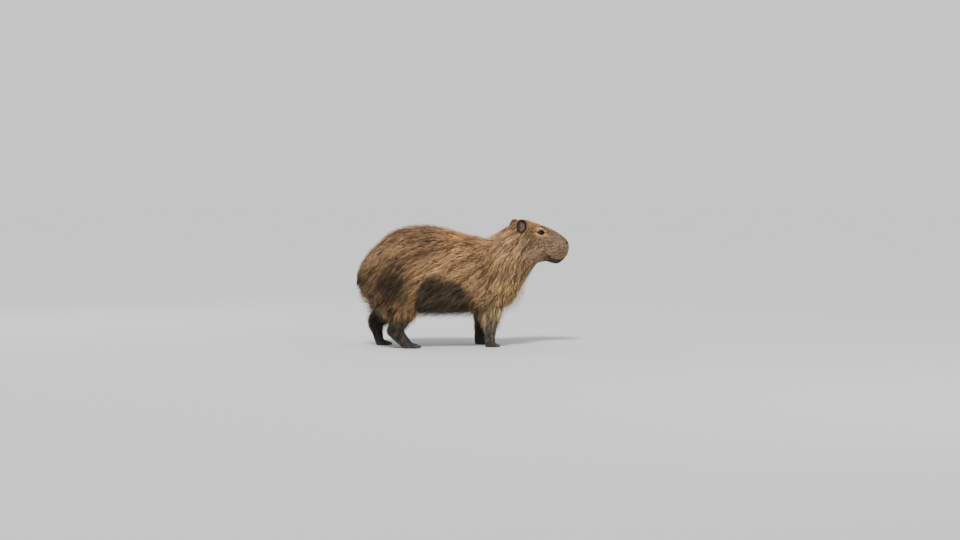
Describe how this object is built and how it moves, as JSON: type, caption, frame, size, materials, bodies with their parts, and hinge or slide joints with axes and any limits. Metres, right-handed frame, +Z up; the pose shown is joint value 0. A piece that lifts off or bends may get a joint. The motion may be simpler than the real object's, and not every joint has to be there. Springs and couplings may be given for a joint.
{
  "type": "capybara model",
  "caption": "Standing capybara, life size: barrel body in coarse brown fur, blunt square muzzle, small round ears, short legs, toes with blunt nails.",
  "frame": {"origin": "middle of the bounding box at floor level", "axes": "+X towards the nose, +Y to the animal's left, +Z up"},
  "size_m": [1.0341, 0.3631, 0.6087],
  "materials": {
    "coat": "coarse matte fur, brown with orange tips",
    "neck_coat": "coarse matte fur, pale brown",
    "face_coat": "short matte fur",
    "leg_coat": "short matte fur, dark",
    "foot_skin": "dull bare skin",
    "ear_skin": "thin dull skin",
    "eye": "wet gloss",
    "nail": "satin horn"
  },
  "bodies": {
    "root": {"front_leg_right": "leg_coat", "front_foot_right": "foot_skin", "front_nail_right_1": "nail", "front_nail_right_2": "nail", "front_nail_right_3": "nail", "front_nail_right_4": "nail", "front_leg_left": "leg_coat", "front_foot_left": "foot_skin", "front_nail_left_1": "nail", "front_nail_left_2": "nail", "front_nail_left_3": "nail", "front_nail_left_4": "nail", "hind_leg_right": "leg_coat", "hind_foot_right": "foot_skin", "hind_nail_right_1": "nail", "hind_nail_right_2": "nail", "hind_nail_right_3": "nail", "hind_leg_left": "leg_coat", "hind_foot_left": "foot_skin", "hind_nail_left_1": "nail", "hind_nail_left_2": "nail", "hind_nail_left_3": "nail", "torso": "coat", "neck": "neck_coat", "head": "face_coat", "eye_right": "eye", "ear_right": "ear_skin", "eye_left": "eye", "ear_left": "ear_skin", "tail": "coat"}
  },
  "joints": []
}
